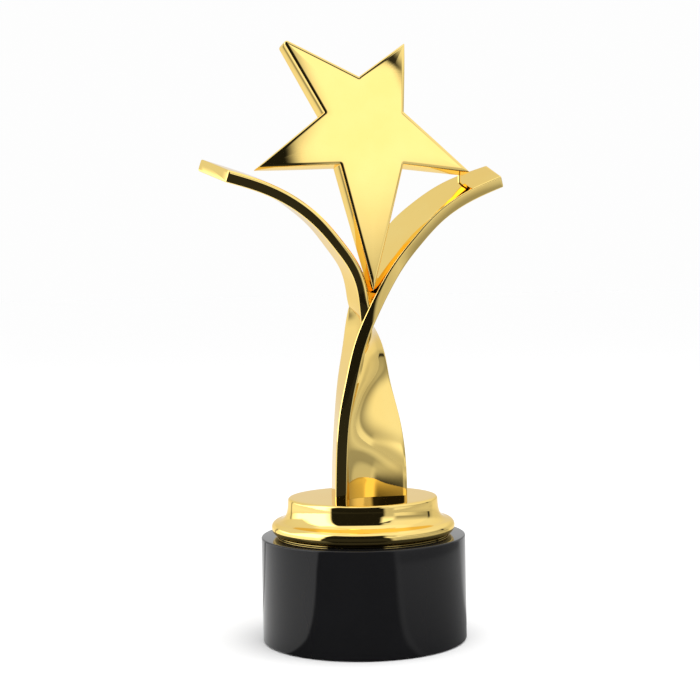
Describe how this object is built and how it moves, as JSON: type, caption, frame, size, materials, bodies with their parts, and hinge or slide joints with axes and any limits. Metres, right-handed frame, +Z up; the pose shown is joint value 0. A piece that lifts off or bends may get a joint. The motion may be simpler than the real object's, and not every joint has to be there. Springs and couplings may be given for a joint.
{
  "type": "star trophy",
  "caption": "Gold star trophy: a leaning star held by two crossing curved ribbons, standing on a stepped gold collar and a round gloss black base.",
  "frame": {"origin": "centre of the felt underside, where the trophy stands", "axes": "+Z up; -Y is the front, the star's face; +X is the viewer's right"},
  "size_m": [0.1349, 0.09, 0.2624],
  "materials": {
    "gold_plating": "mirror-polished gold plating",
    "gold_pin": "plain gold-coloured pin",
    "black_gloss": "deep gloss black",
    "zinc_steel": "zinc plated",
    "black_felt": "felt",
    "grey_foam": "matt foam"
  },
  "bodies": {
    "root": {"felt_pad": "black_felt", "black_base": "black_gloss", "base_gasket": "grey_foam", "collar": "gold_plating", "left_ribbon": "gold_plating", "right_ribbon": "gold_plating", "star": "gold_plating", "crossing_pin": "gold_pin", "star_arm_pin": "gold_pin", "tie_rod": "zinc_steel", "large_washer": "zinc_steel", "spring_washer": "zinc_steel", "hex_nut": "zinc_steel", "foot_screw_1": "zinc_steel", "foot_screw_2": "zinc_steel", "foot_screw_3": "zinc_steel", "foot_screw_4": "zinc_steel", "foot_washer_1": "zinc_steel", "foot_washer_2": "zinc_steel", "foot_washer_3": "zinc_steel", "foot_washer_4": "zinc_steel"}
  },
  "joints": []
}
